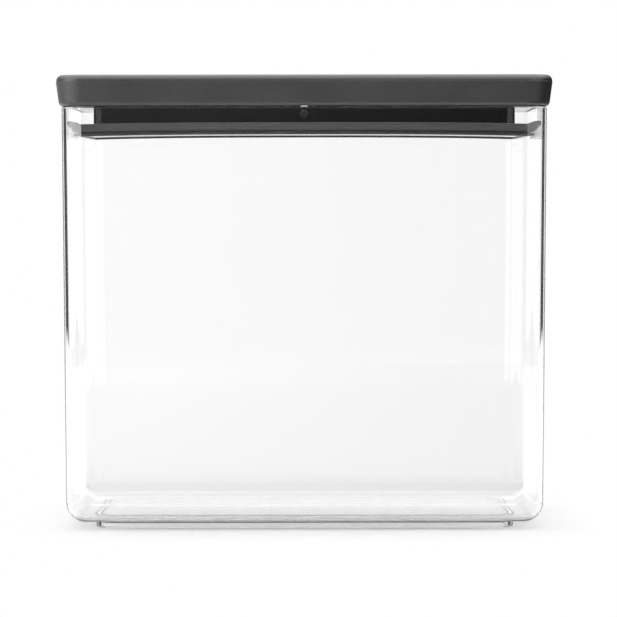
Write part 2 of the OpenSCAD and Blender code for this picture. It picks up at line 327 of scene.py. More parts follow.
# %% [markdown]
# The underside of the lid and the seal get their light from the table, so a dull surface sees a plain sheen
# there that is brightest close by. Only the first bounce counts: after a dull bounce the renderer takes the
# polished walls as slightly dull too, and they would glow.

# %% The sheen that dull surfaces get
SHEEN_LEFT, SHEEN_RIGHT, SHEEN_CLOSE = 2.0, 0.4, 2.6
CLOSE_ENDS, CLOSE_BEGINS = 0.35, 0.2

off_dull = add(tree, "ShaderNodeMath", {0: paper_rays["Is Diffuse Ray"], 1: paper_rays["Is Glossy Ray"]},
               operation="MAXIMUM").outputs[0]
off_dull = add(tree, "ShaderNodeMath", {0: off_dull, 1: paper_rays["Is Singular Ray"]}, operation="SUBTRACT",
               use_clamp=True).outputs[0]
bounces = add(tree, "ShaderNodeMath", {0: paper_rays["Diffuse Depth"], 1: paper_rays["Glossy Depth"]},
              operation="ADD").outputs[0]
first = add(tree, "ShaderNodeMath", {0: bounces, 1: ONE_AT_MOST}, operation="LESS_THAN").outputs[0]
off_dull = add(tree, "ShaderNodeMath", {0: off_dull, 1: first}, operation="MULTIPLY").outputs[0]
sheen_level = add(tree, "ShaderNodeMapRange", {"Value": spread["X"], "From Min": -SIDE_REACH,
                  "From Max": SIDE_REACH, "To Min": SHEEN_LEFT, "To Max": SHEEN_RIGHT}).outputs[0]
close = add(tree, "ShaderNodeMapRange", {"Value": away, "From Min": CLOSE_ENDS,
            "From Max": CLOSE_BEGINS}).outputs[0]
sheen_level = add(tree, "ShaderNodeMix", {"Factor": close, "A": sheen_level, "B": SHEEN_CLOSE}).outputs[0]
sheen = add(tree, "ShaderNodeEmission", {"Strength": sheen_level})
lit_paper = add(tree, "ShaderNodeMixShader", {0: off_dull, 1: seen_paper.outputs[0], 2: sheen.outputs[0]})
print("sheen from", SHEEN_RIGHT, "to", SHEEN_CLOSE)

# %% [markdown]
# In the polished walls, the table in front fades into the dark board as it goes away, so that it draws no
# bright band across the vessel. The table ends about a metre out, so that level rays at the sides still find
# the dark room.

# %% Dusk in the mirrors, and the table itself
FAR_AWAY = 1.05
TABLE_HALF = 1.1

in_front = add(tree, "ShaderNodeMath", {0: spread["Y"], 1: 0.0}, operation="LESS_THAN").outputs[0]
mirrored = add(tree, "ShaderNodeMath", {0: paper_rays["Is Singular Ray"], 1: unmirrored},
               operation="GREATER_THAN").outputs[0]
dim = add(tree, "ShaderNodeMapRange", {"Value": away, "From Min": NEAR_AWAY, "From Max": FAR_AWAY}).outputs[0]
dim = add(tree, "ShaderNodeMath", {0: dim, 1: in_front}, operation="MULTIPLY").outputs[0]
dim = add(tree, "ShaderNodeMath", {0: dim, 1: mirrored}, operation="MULTIPLY").outputs[0]
dusk = add(tree, "ShaderNodeEmission", {"Strength": GAP_LEFT})
dimmed = add(tree, "ShaderNodeMixShader", {0: dim, 1: lit_paper.outputs[0], 2: dusk.outputs[0]})
finish_material(paper, dimmed.outputs[0])

bm = bmesh.new()
bmesh.ops.create_grid(bm, x_segments=1, y_segments=1, size=TABLE_HALF)
table_mesh = bpy.data.meshes.new("table")
bm.to_mesh(table_mesh)
bm.free()
table = bpy.data.objects.new("table", table_mesh)
bpy.context.scene.collection.objects.link(table)
table_mesh.materials.append(paper)
print("table", 2 * TABLE_HALF, "m across")

# %% [markdown]
# ## Shaping a rounded rectangle
#
# Every piece here follows the same rounded rectangle. A turned part is a profile spun round one axis. These
# parts are the same idea with four axes: a chain of edges is spun a quarter turn at a corner, pulled along
# the straight side, spun at the next corner, and so on until it meets itself. The corners of the chain are
# rounded first, by bevelling its vertices, so every fillet is a clean arc.

# %% Chain and walk
CORNER_STEPS = 32
WELD = 0.001 * MM


def draw_chain(bm, centre, points, closed, steps):
    """Edges through [distance from the corner centre, height, fillet] points in mm, with rounded corners."""
    verts = [bm.verts.new((centre[0] + p[0] * MM, centre[1], p[1] * MM)) for p in points]
    ends = verts[1:] + verts[:1] if closed else verts[1:]
    for start, end in zip(verts, ends):
        bm.edges.new((start, end))
    old = {e for e in bm.edges if not any(v in verts for v in e.verts)}
    for vert, point in zip(verts, points):
        if len(point) > 2:
            arms = [e.other_vert(vert).co - vert.co for e in vert.link_edges]
            half = arms[0].angle(arms[1]) / 2
            bmesh.ops.bevel(bm, geom=[vert], offset=point[2] * MM / math.tan(half), offset_type="OFFSET",
                            segments=steps, profile=0.5, affect="VERTICES", clamp_overlap=False, material=-1)
    return [e for e in bm.edges if e not in old]


def walk_round(bm, chain, centre):
    """Walks a chain round the four corner centres and welds it to its own start."""
    cx, cy = centre
    legs = [((cx, cy), (-2 * cx, 0)), ((-cx, cy), (0, -2 * cy)),
            ((-cx, -cy), (2 * cx, 0)), ((cx, -cy), (0, 2 * cy))]
    for (x, y), (dx, dy) in legs:
        geom = list(chain) + list({v for e in chain for v in e.verts})
        spun = bmesh.ops.spin(bm, geom=geom, cent=(x, y, 0), axis=(0, 0, 1), angle=math.pi / 2,
                              steps=CORNER_STEPS, use_merge=False, use_duplicate=False)
        last = [g for g in spun["geom_last"] if isinstance(g, bmesh.types.BMEdge)]
        pulled = bmesh.ops.extrude_edge_only(bm, edges=last)["geom"]
        moved = [g for g in pulled if isinstance(g, bmesh.types.BMVert)]
        bmesh.ops.translate(bm, verts=moved, vec=(dx, dy, 0))
        chain = [e for e in {e for v in moved for e in v.link_edges} if all(v in moved for v in e.verts)]
    bmesh.ops.remove_doubles(bm, verts=bm.verts, dist=WELD)


def sweep(bm, centre, points, closed=False, steps=6):
    """Draws a chain and walks it round."""
    centre = (centre[0] * MM, centre[1] * MM)
    walk_round(bm, draw_chain(bm, centre, points, closed, steps), centre)


print("a corner turns in", CORNER_STEPS, "steps")

# %% [markdown]
# Some pieces change from one rounded rectangle to another, as the vessel does at its foot ring. Each is swept
# on its own with its end left open, and then two open loops at the same height are welded, vertex to vertex.

# %% Join and fill
LEVEL_WITHIN = 5 * WELD


def open_loops(bm, height):
    """The open loops at a height in mm, the widest first."""
    edges = {e for e in bm.edges
             if e.is_boundary and all(abs(v.co.z - height * MM) < LEVEL_WITHIN for v in e.verts)}
    loops = []
    while edges:
        loop, todo = [], [edges.pop()]
        while todo:
            edge = todo.pop()
            loop.append(edge)
            for touching in {e for v in edge.verts for e in v.link_edges} & edges:
                edges.remove(touching)
                todo.append(touching)
        loops.append(loop)
    return sorted(loops, key=lambda loop: -max(v.co.x for e in loop for v in e.verts))


def in_turn(loop):
    """The vertices of a loop in turn round the middle."""
    return sorted({v for e in loop for v in e.verts}, key=lambda v: math.atan2(v.co.y, v.co.x))


def join(bm, height):
    """Welds the widest open loop at a height to the next one, vertex to vertex."""
    loops = open_loops(bm, height)
    bmesh.ops.weld_verts(bm, targetmap=dict(zip(in_turn(loops[0]), in_turn(loops[1]))))


def fill(bm, height):
    """Closes the widest open loop at a height with one flat face."""
    bmesh.ops.contextual_create(bm, geom=open_loops(bm, height)[0])


# %% [markdown]
# A finished piece is smooth-shaded, apart from edges sharper than fifty degrees. Weighted normals let each
# large flat face keep its own direction, so a clear wall stays optically flat right up to its fillet.

# %% Turn a bmesh into a piece
SHARP_ANGLE = math.radians(50)


def make_piece(bm, name, material, body, node=None):
    """Makes the object, smooths it, gives it its material, hangs it under its body and hides the old part."""
    bmesh.ops.recalc_face_normals(bm, faces=bm.faces)
    for face in bm.faces:
        face.smooth = True
    for edge in bm.edges:
        edge.smooth = edge.is_manifold and edge.calc_face_angle(0) < SHARP_ANGLE
    mesh = bpy.data.meshes.new(name)
    bm.to_mesh(mesh)
    open_edges = sum(not e.is_manifold for e in bm.edges)
    volume = bm.calc_volume() / MM ** 3
    bm.free()
    piece = bpy.data.objects.new(name, mesh)
    bpy.context.scene.collection.objects.link(piece)
    mesh.materials.append(material)
    weighted = piece.modifiers.new("weighted", "WEIGHTED_NORMAL")
    weighted.keep_sharp = True
    weighted.mode = "FACE_AREA"
    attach(piece, body)
    if node:
        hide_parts(node)
    print(f"{name}: {len(mesh.polygons)} faces, {open_edges} open edges, {volume:.0f} mm3")
    return piece


print("edges past", round(math.degrees(SHARP_ANGLE)), "degrees stay sharp")

# %% [markdown]
# ## The clear vessel
#
# The real one is injection moulded in a clear styrene plastic. The wall has the same thickness all round,
# the sides lean in a little so that it leaves the mould, and the base stands on a low ring. The chain goes
# from under the floor, up the outside, over the rim and down the inside, so the wall has its true
# thickness, which the light needs.

# %% Vessel sizes in mm
# DRAFT is how far a side leans in from rim to base. FOOT_SKIRT is the strip of base beside the foot ring.
# The flat middles of the base and the floor begin at UNDER_R and FLOOR_JOIN_R from the corner centres.
CORNER_R = 7.4
WALL = 1.55
DRAFT = 1.2
FLOOR_TOP = 4.2
RIM_R = 0.4
BASE_R = 7.3
INNER_BASE_R = 5.2
FOOT_H = 2.6
FOOT_W = 1.8
FOOT_INSET = 11.4
FOOT_CORNER_R = 7.0
FOOT_EDGE_R = 0.6
FOOT_FILLET = 0.4
FOOT_SKIRT = 1.2
UNDER_R = 0.5
FLOOR_JOIN_R = 0.1

half_w = vessel_high.x / MM
half_d = vessel_high.y / MM
rim_z = vessel_high.z / MM
slope = DRAFT / (rim_z - FOOT_H)
MAIN = (half_w - CORNER_R, half_d - CORNER_R)


def centres(inset, radius):
    """Corner centres of a rounded rectangle with this inset from the rim's outside."""
    return (half_w - inset - radius, half_d - inset - radius)


FOOT = centres(FOOT_INSET, FOOT_CORNER_R)
print("corner centres", MAIN, FOOT)

# %% [markdown]
# Clear styrene acrylonitrile comes from a polished mould with a mirror-smooth skin. It bends light more than
# window glass does, so the walls and the base draw strong lines. Its IOR is near 1.57, and 1.55 fits best
# here. The bulk swallows a trace of light, which shows only along the walls. A colour ramp over the height
# paints shade into the plastic: a dark hairline of painted shade at the sharp corner above the foot ring,
# and lighter painted shade where the base turns under. Lamps shine through the walls to the table, and more
# weakly where a wall is edge-on to them.

# %% Clear plastic
# Each tint is a height in mm and its colour; greys paint shade. A new ramp already has its first two stops.
SHADE_TINTS = [(0, "FFFFFF"), (1.75, "FFFFFF"), (1.95, "262626"), (2.3, "262626"), (2.5, "FFFFFF"),
         (2.65, "FFFFFF"), (2.75, "C8C8C8"), (3.3, "D8D8D8"), (4.4, "FFFFFF")]
LAMP_THROUGH_FACE, LAMP_THROUGH_EDGE = 0.97, 0.55


def clear_styrene():
    """Clear styrene acrylonitrile from a polished mould, with shade painted in by height."""
    material, tree = new_material("clear_styrene_plastic")
    place = add(tree, "ShaderNodeTexCoord").outputs["Object"]
    height = add(tree, "ShaderNodeSeparateXYZ", {"Vector": place}).outputs["Z"]
    highest_tint = SHADE_TINTS[-1][0]
    along_ramp = add(tree, "ShaderNodeMapRange", {"Value": height, "From Max": highest_tint * MM}).outputs[0]
    # The ramp paints shade into the plastic's colour by height: a dark hairline and a lighter grey band.
    tint = add(tree, "ShaderNodeValToRGB", {"Fac": along_ramp})
    stops = tint.color_ramp.elements
    for number, (level, colour) in enumerate(SHADE_TINTS):
        stop = stops[number] if number < 2 else stops.new(1.0)
        stop.position = level / highest_tint
        stop.color = to_linear(colour)
    plastic = add(tree, "ShaderNodeBsdfPrincipled", {
        "Base Color": tint.outputs["Color"], "Roughness": 0.0, "IOR": 1.55, "Transmission Weight": 1.0})
    path = add(tree, "ShaderNodeLightPath").outputs
    edge_on = add(tree, "ShaderNodeLayerWeight", {"Blend": 0.5}).outputs["Facing"]
    shade = add(tree, "ShaderNodeMapRange", {"Value": edge_on, "To Min": LAMP_THROUGH_FACE,
                "To Max": LAMP_THROUGH_EDGE}).outputs[0]
    let_through = add(tree, "ShaderNodeBsdfTransparent", {"Color": shade})
    both = add(tree, "ShaderNodeMixShader", {0: path["Is Shadow Ray"], 1: plastic.outputs[0],
               2: let_through.outputs[0]})
    bulk = add(tree, "ShaderNodeVolumeAbsorption", {"Color": to_linear("808080"), "Density": 4.0})
    finish_material(material, both.outputs[0])
    tree.links.new(bulk.outputs[0], tree.nodes["Material Output"].inputs["Volume"])
    return material


CLEAR = clear_styrene()

# %% Build the vessel
bm = bmesh.new()
sweep(bm, MAIN, [
    (UNDER_R, FOOT_H),
    (CORNER_R, FOOT_H, BASE_R),
    (CORNER_R, rim_z, RIM_R),
    (CORNER_R - WALL, rim_z, RIM_R),
    (CORNER_R - WALL, FLOOR_TOP, INNER_BASE_R),
    (FLOOR_JOIN_R, FLOOR_TOP)], steps=16)
for vert in bm.verts:
    lean = slope * (rim_z * MM - vert.co.z)
    vert.co.x -= math.copysign(lean, vert.co.x)
    vert.co.y -= math.copysign(lean, vert.co.y)
sweep(bm, FOOT, [
    (FOOT_CORNER_R + FOOT_SKIRT, FOOT_H),
    (FOOT_CORNER_R, FOOT_H, FOOT_FILLET),
    (FOOT_CORNER_R, 0, FOOT_EDGE_R),
    (FOOT_CORNER_R - FOOT_W, 0, FOOT_EDGE_R),
    (FOOT_CORNER_R - FOOT_W, FOOT_H, FOOT_FILLET),
    (FOOT_CORNER_R - FOOT_W - FOOT_SKIRT, FOOT_H)], steps=8)
join(bm, FOOT_H)
fill(bm, FOOT_H)
fill(bm, FLOOR_TOP)
make_piece(bm, "clear_vessel", CLEAR, "canister", "canister_body")

# %% [markdown]
# ## Holes and slots
#
# A mould leaves a hole where a core pin stands. Here the pins are simple bodies, taken out of the shape with
# an exact Boolean before it is shaded, so that a hole's edges are treated like any other edge.

# %% Cutting tools
PIN_SIDES = 48


def loose(bm):
    """A loose object that holds a shape."""
    mesh = bpy.data.meshes.new("loose")
    bm.to_mesh(mesh)
    bm.free()
    shape = bpy.data.objects.new("loose", mesh)
    bpy.context.scene.collection.objects.link(shape)
    return shape


def cut(bm, pins):
    """The shape with the pins taken out of it."""
    bmesh.ops.recalc_face_normals(bm, faces=bm.faces)
    blank = loose(bm)
    pins = [loose(shape) for shape in pins]
    for shape in pins:
        knife = blank.modifiers.new("cut", "BOOLEAN")
        knife.operation = "DIFFERENCE"
        knife.solver = "EXACT"
        knife.object = shape
    result = bmesh.new()
    result.from_object(blank, bpy.context.evaluated_depsgraph_get())
    for shape in [blank] + pins:
        bpy.data.objects.remove(shape)
    return result


def bar(width, front, back, bottom, top):
    """A box centred on X between two depths and two heights, in mm."""
    bm = bmesh.new()
    bmesh.ops.create_cube(bm, size=1)
    bmesh.ops.scale(bm, vec=(width * MM, (back - front) * MM, (top - bottom) * MM), verts=bm.verts)
    bmesh.ops.translate(bm, vec=(0, (front + back) / 2 * MM, (bottom + top) / 2 * MM), verts=bm.verts)
    return bm


def pin(diameter, front, back, height):
    """A round bar along Y between two depths, at this height, in mm."""
    bm = bmesh.new()
    radius = diameter / 2 * MM
    bmesh.ops.create_cone(bm, cap_ends=True, segments=PIN_SIDES, radius1=radius, radius2=radius,
                          depth=(back - front) * MM)
    bmesh.ops.rotate(bm, verts=bm.verts, cent=(0, 0, 0), matrix=Matrix.Rotation(math.pi / 2, 3, "X"))
    bmesh.ops.translate(bm, vec=(0, (front + back) / 2 * MM, height * MM), verts=bm.verts)
    return bm


def add_twin(bm):
    """Adds the same shape at the rear, turned half round."""
    twin = bmesh.ops.duplicate(bm, geom=bm.verts[:] + bm.edges[:] + bm.faces[:])["geom"]
    bmesh.ops.rotate(bm, verts=[g for g in twin if isinstance(g, bmesh.types.BMVert)], cent=(0, 0, 0),
                     matrix=Matrix.Rotation(math.pi, 3, "Z"))
    return bm


print("round pins have", PIN_SIDES, "sides")

# %% [markdown]
# ## The cap
#
# The cap is moulded in a dark grey plastic with a fine spark-eroded texture. Its side is widest at a
# parting line just under the top edge and leans in below it. The top is sunk to take the foot ring of a
# canister stacked on it.

# %% Cap sizes in mm
# Below its parting line the side leans in by CAP_LEAN, and above it steps in by PARTING_STEP. The collar's
# flange sits in the REBATE at the cap's mouth. The slot for a key is cut SLOT_PAST further than the wall.
CAP_LEAN = 1.2
CAP_PARTING = 2.4
CAP_TOP_R = 2.15
CAP_BOTTOM_R = 1.9
CAP_SIDE = 2.15
CAP_INNER_EDGE_R = 0.15
PARTING_STEP = 0.12
PARTING_HALF = 0.05
REBATE = 1.0
CEILING_R = 0.5
RECESS_DEPTH = 1.6
RECESS_CLEAR = 1.5
RECESS_SKIRT = 1.0
RECESS_EDGE_R = 0.4
RECESS_FLOOR_R = 0.7
CAP_CEILING = 2.0
FLANGE_T = 1.6
RIM_GAP = 0.1
SLOT_W = 2.6
SLOT_H = 0.65
SLOT_PAST = 1.5
CUT_PAST = 1

cap_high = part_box("lid_cap")[1]
cap_top = cap_high.z / MM
cap_bottom = rim_z + RIM_GAP
CAP_R = cap_high.x / MM - MAIN[0]
cap_inner = CAP_R - CAP_LEAN - CAP_SIDE
recess_floor = cap_top - RECESS_DEPTH
recess_r = FOOT_CORNER_R + RECESS_CLEAR
parting_z = cap_top - CAP_PARTING
ceiling_z = recess_floor - CAP_CEILING
flange_top = cap_bottom + FLANGE_T
slot_top = cap_bottom + SLOT_H
print("cap from", cap_bottom, "to", cap_top, "widest radius", round(CAP_R, 2))

# %% [markdown]
# All the hard pieces of the lid share one recipe. The mould leaves a fine grain, and the skin varies slightly
# in tone and gloss over a few centimetres, where the melt cooled unevenly. The real grain is about a tenth
# of a millimetre wide. It is drawn at half a millimetre, and deeper to match, so that it shows.

# %% Moulded plastic
GRAIN_MM = 0.5
CLOUD_MM = 25
PALER_FROM, PALER_TO = 0.12, 0.4
CLOUD_LOW, CLOUD_HIGH = 0.3, 0.7
GLOSS_VARIES = 0.04
DOWNWARDS = -0.9


def moulded_plastic(name, colour, paler, roughness, grain_depth=0, underside=None):
    """A moulded plastic between two tones. A grain depth in mm gives it a spark-eroded skin, and an underside
    is the roughness of faces that look down."""
    material, tree = new_material(name)
    place = add(tree, "ShaderNodeTexCoord").outputs["Object"]
    grain = add(tree, "ShaderNodeTexNoise", {"Vector": place, "Scale": 1 / (GRAIN_MM * MM), "Detail": 2.0,
                "Roughness": 0.6}).outputs[0]
    cloud = add(tree, "ShaderNodeTexNoise", {"Vector": place, "Scale": 1 / (CLOUD_MM * MM),
                "Detail": 3.0}).outputs[0]
    blend = add(tree, "ShaderNodeMath", {0: grain, 1: cloud}, operation="MULTIPLY").outputs[0]
    tone = add(tree, "ShaderNodeMapRange", {"Value": blend, "From Min": PALER_FROM,
               "From Max": PALER_TO}).outputs[0]
    colour = add(tree, "ShaderNodeMix", {"Factor": tone, "A": to_linear(colour), "B": to_linear(paler)},
                 data_type="RGBA").outputs[2]
    rough = add(tree, "ShaderNodeMapRange", {
        "Value": cloud, "From Min": CLOUD_LOW, "From Max": CLOUD_HIGH,
        "To Min": roughness - GLOSS_VARIES, "To Max": roughness + GLOSS_VARIES}).outputs[0]
    if underside is not None:
        normal = add(tree, "ShaderNodeNewGeometry").outputs["Normal"]
        facing = add(tree, "ShaderNodeSeparateXYZ", {"Vector": normal}).outputs["Z"]
        below = add(tree, "ShaderNodeMath", {0: facing, 1: DOWNWARDS}, operation="LESS_THAN").outputs[0]
        rough = add(tree, "ShaderNodeMix", {"Factor": below, "A": rough, "B": underside}).outputs[0]
    skin = add(tree, "ShaderNodeBsdfPrincipled", {"Base Color": colour, "Roughness": rough, "IOR": 1.5})
    if grain_depth:
        bump = add(tree, "ShaderNodeBump", {"Height": grain, "Strength": 0.5, "Distance": grain_depth * MM})
        tree.links.new(bump.outputs[0], skin.inputs["Normal"])
    return finish_material(material, skin.outputs[0])


# The cap's plastic: moulded against spark-eroded steel, whose tiny pits spread each highlight into a soft
# grey sheen.
CAP_PLASTIC = moulded_plastic("spark_textured_grey_plastic", "19191A", "29292A", roughness=0.36,
                              grain_depth=0.3)

# %% Build the cap
bm = bmesh.new()
sweep(bm, MAIN, [
    (UNDER_R, ceiling_z),
    (cap_inner - REBATE, ceiling_z, CEILING_R),
    (cap_inner - REBATE, flange_top),
    (cap_inner, flange_top),
    (cap_inner, cap_bottom, CAP_INNER_EDGE_R),
    (CAP_R - CAP_LEAN, cap_bottom, CAP_BOTTOM_R),
    (CAP_R, parting_z - PARTING_HALF),
    (CAP_R - PARTING_STEP, parting_z + PARTING_HALF),
    (CAP_R - PARTING_STEP, cap_top, CAP_TOP_R),
    (UNDER_R, cap_top)], steps=10)
sweep(bm, FOOT, [
    (recess_r + RECESS_SKIRT, cap_top),
    (recess_r, cap_top, RECESS_EDGE_R),
    (recess_r, recess_floor, RECESS_FLOOR_R),
    (FOOT_CORNER_R, recess_floor)], steps=8)
join(bm, cap_top)
fill(bm, recess_floor)
fill(bm, ceiling_z)
front_y, inner_y = half_d + CAP_R, MAIN[1] + cap_inner - SLOT_PAST
bm = cut(bm, [add_twin(bar(SLOT_W, -front_y, -inner_y, cap_bottom - CUT_PAST, slot_top))])
make_piece(bm, "cap_shell", CAP_PLASTIC, "lid", "lid_cap")

# %% [markdown]
# ## The collar
#
# The collar is a rectangular tube under the cap. A flange at its top closes the cap from below, and a
# thinner one at its bottom keeps the seal on its seat. A round hole for a stud and a slot for a key sit at
# the middle of each long side.

# %% Collar sizes in mm
# COLLAR_SKIRT is the strip of each flange that meets the tube, and the keeper is the thin lower flange.
COLLAR_INSET = 11.15
COLLAR_WALL = 2.0
COLLAR_CORNER_R = 3.0
COLLAR_SKIRT = 0.5
COLLAR_FILLET = 0.3
FLANGE_EDGE_R = 0.2
FIT_GAP = 0.1
KEEPER_T = 0.8
KEEPER_R = 1.2
KEEPER_EDGE_R = 0.15
STUD_DROP = 2.35
STUD_D = 3.0

seat_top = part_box("lid_collar")[0].z / MM
keeper_top = seat_top + KEEPER_T
flange_r = cap_inner - FIT_GAP
COLLAR = centres(COLLAR_INSET, COLLAR_CORNER_R)
collar_front = half_d - COLLAR_INSET
stud_z = rim_z - STUD_DROP
print("collar from", round(seat_top, 2), "to", round(flange_top, 2), "stud at", round(stud_z, 2))

# %% Build the collar
# The collar's plastic: the same kind from a finely polished mould, near black with a narrow clean gloss.
SATIN_BLACK = moulded_plastic("satin_black_plastic", "101011", "161617", roughness=0.08)
bm = bmesh.new()
wall_inner = COLLAR_CORNER_R - COLLAR_WALL
sweep(bm, COLLAR, [(wall_inner, seat_top), (wall_inner, flange_top)])
sweep(bm, MAIN, [
    (UNDER_R, flange_top),
    (flange_r, flange_top, FLANGE_EDGE_R),
    (flange_r, cap_bottom, FLANGE_EDGE_R),
    (UNDER_R, cap_bottom)])
join(bm, flange_top)
sweep(bm, COLLAR, [
    (COLLAR_CORNER_R + COLLAR_SKIRT, cap_bottom),
    (COLLAR_CORNER_R, cap_bottom, COLLAR_FILLET),
    (COLLAR_CORNER_R, keeper_top, COLLAR_FILLET),
    (COLLAR_CORNER_R + COLLAR_SKIRT, keeper_top)])
join(bm, cap_bottom)
sweep(bm, MAIN, [
    (UNDER_R, keeper_top),
    (KEEPER_R, keeper_top, KEEPER_EDGE_R),
    (KEEPER_R, seat_top, KEEPER_EDGE_R),
    (UNDER_R, seat_top)])
join(bm, keeper_top)
join(bm, seat_top)
bm = cut(bm, [pin(STUD_D + 2 * FIT_GAP, -front_y, front_y, stud_z),
              bar(SLOT_W, -front_y, front_y, cap_bottom - FIT_GAP, slot_top)])
make_piece(bm, "lid_collar_tube", SATIN_BLACK, "lid", "lid_collar")

# %% [markdown]
# ## The seal carrier
#
# The carrier is the plate that plugs the vessel. Its lip holds the seal from below, and its polished
# underside mirrors the room, so from just below it looks like a gap of light. An upstand clicks into the
# collar with two round studs.

# %% Carrier sizes in mm
# The plate's underside sits PLATE_RISE above the bottom of its lip. Radii, here and for the seal, are from
# the vessel's corner centres.
LIP_R = 2.89
LIP_T = 1.14
LIP_LOW_R = 0.35
LIP_HIGH_R = 0.2
PLATE_RISE = 0.42
PLATE_T = 1.5
PLATE_EDGE_R = 0.1
UNDER_LIP_R = 0.08
PLATE_JOIN_R = 0.1
SEAT_R = 0.3
UPSTAND_WALL = 1.5
UPSTAND_JOIN = 0.3

lip_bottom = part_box("seal_carrier")[0].z / MM
lip_top = lip_bottom + LIP_T
plate_bottom = lip_bottom + PLATE_RISE
plate_top = plate_bottom + PLATE_T
upstand_top = cap_bottom - 2 * FIT_GAP
upstand_r = COLLAR_CORNER_R - COLLAR_WALL - FIT_GAP
INNER = centres(COLLAR_INSET + COLLAR_WALL + FIT_GAP + UPSTAND_WALL, SEAT_R)
print("lip from", round(lip_bottom, 2), "to", round(lip_top, 2))

# %% [markdown]
# The seal presses on the lip, and the long sides have sprung up by most of a millimetre at their middle. The
# flat shape is cut across every few millimetres, and the cuts are then lifted.

# %% Bow of the long sides
SIDE_BOW = 0.72
BOW_POWER = 3
SLICE = 5


def bow(vert):
    """How far the long sides have bowed up here, in mm: most at the middle, nothing at the corners."""
    return SIDE_BOW * (1 - min(abs(vert.co.x) / (MAIN[0] * MM), 1) ** BOW_POWER)


def slice_across(bm):
    """Cuts the mesh across every few millimetres between the corners, so that it can follow a bow."""
    count = int(2 * MAIN[0] / SLICE)
    for i in range(1, count):
        place = (-MAIN[0] + 2 * MAIN[0] * i / count) * MM
        bmesh.ops.bisect_plane(bm, geom=bm.verts[:] + bm.edges[:] + bm.faces[:], dist=WELD,
                               plane_co=(place, 0, 0), plane_no=(1, 0, 0))


def down_the_seat(vert):
    """How far down the seal's seat this is: 0 at its top, 1 on the lip."""
    return min(max((seat_top - vert.co.z / MM) / (seat_top - lip_top), 0), 1)


print("the long sides bow up", SIDE_BOW, "mm and are cut every", SLICE, "mm")

# %% Build the carrier
# The carrier's plastic: dark grey, satin at the sides from a blasted mould, and nearly a mirror on the
# underside, where the mould was polished so that food doesn't cling.
CARRIER_GREY = moulded_plastic("satin_grey_plastic", "383839", "404041", roughness=0.4, underside=0.03)
bm = bmesh.new()
sweep(bm, MAIN, [
    (PLATE_JOIN_R, plate_bottom),
    (SEAT_R, plate_bottom, PLATE_EDGE_R),
    (SEAT_R, lip_bottom, UNDER_LIP_R),
    (LIP_R, lip_bottom, LIP_LOW_R),
    (LIP_R, lip_top, LIP_HIGH_R),
    (SEAT_R, lip_top, PLATE_EDGE_R),
    (SEAT_R, seat_top, PLATE_EDGE_R),
    (PLATE_JOIN_R, seat_top)])
fill(bm, plate_bottom)
sweep(bm, COLLAR, [(upstand_r, seat_top), (upstand_r, upstand_top), (upstand_r - UPSTAND_JOIN, upstand_top)])
join(bm, seat_top)
sweep(bm, INNER, [(SEAT_R, upstand_top), (SEAT_R, plate_top)])
join(bm, upstand_top)
fill(bm, plate_top)
slice_across(bm)
for vert in bm.verts:
    vert.co.z += bow(vert) * down_the_seat(vert) * MM
make_piece(bm, "seal_carrier_plate", CARRIER_GREY, "lid", "seal_carrier")

# %% [markdown]
# The studs are short pins with rounded ends, which stand a little proud of the collar's holes. Their upper
# edges are made pale with a painted highlight: a second material on the faces of the rounded edge that look
# upwards.

# %% Studs
STUD_PROUD = 0.15
STUD_PAST = 1
STUD_EDGE_R = 0.4
UPWARDS = 0.1

bm = pin(STUD_D, -collar_front - STUD_PROUD, -collar_front + COLLAR_WALL + STUD_PAST, stud_z)
face_edges = [e for e in bm.edges if all(v.co.y < (-collar_front + COLLAR_WALL / 2) * MM for v in e.verts)]
rounded = bmesh.ops.bevel(bm, geom=face_edges, offset=STUD_EDGE_R * MM, segments=5, profile=0.5,
                          affect="EDGES", material=-1)
# Painted highlight: the faces of the rounded edge that look up take the second, pale material.
for face in rounded["faces"]:
    face.material_index = int(face.normal.z > UPWARDS)
# The studs' plastic: the carrier's own, but from a polished pin, so it catches one clear highlight.
STUD_GREY = moulded_plastic("polished_grey_plastic", "424243", "4A4A4B", roughness=0.2)
# The same plastic with a painted highlight: almost white, for the faces of the rounded edge that look up.
HIGHLIGHT_GREY = moulded_plastic("highlight_grey_plastic", "B4B4B5", "BCBCBD", roughness=0.4)
studs = make_piece(add_twin(bm), "carrier_studs", STUD_GREY, "lid")
studs.data.materials.append(HIGHLIGHT_GREY)

# %% [markdown]
# ## The wiper seal
#
# The seal is moulded in soft silicone. Its skirt flares out to the wall and rides up a little in the
# corners, where the rubber has to turn.

# %% Seal sizes in mm
# The groove is the shadow gap between the lip and the skirt. Where the sides bow, the skirt's tip follows by
# the share SKIRT_FOLLOWS.
SEAL_FIT = 0.05
GROOVE_W = 1.6
GROOVE_H = 0.5
SKIRT_H = 2.8
SKIRT_FLARE = 2.6
SKIRT_TIP = 0.5
SKIRT_FOLLOWS = 0.8
SEAL_GAP = 0.15
ROOT_LOW_R = 0.12
ROOT_HIGH_R = 0.3
TIP_LOW_R = 0.25
TIP_HIGH_R = 0.15
CORNER_RISE = 1.4

skirt_bottom = lip_top + GROOVE_H
skirt_top = skirt_bottom + SKIRT_H
tip_r = CORNER_R - WALL - slope * (rim_z - skirt_top) - SEAL_GAP
root_r = tip_r - SKIRT_FLARE
print("skirt from", round(skirt_bottom, 2), "to", round(skirt_top, 2), "tip radius", round(tip_r, 2))

# %% [markdown]
# Silicone is cured in a warm mould. Its skin is soft and satin and soon carries a dusty bloom, in patches of
# a few millimetres. Faces that look up are paler: a painted highlight.

# %% Silicone
BLOOM_MM = 4
HIGHLIGHT_FROM, HIGHLIGHT_TO = 0.3, 0.8


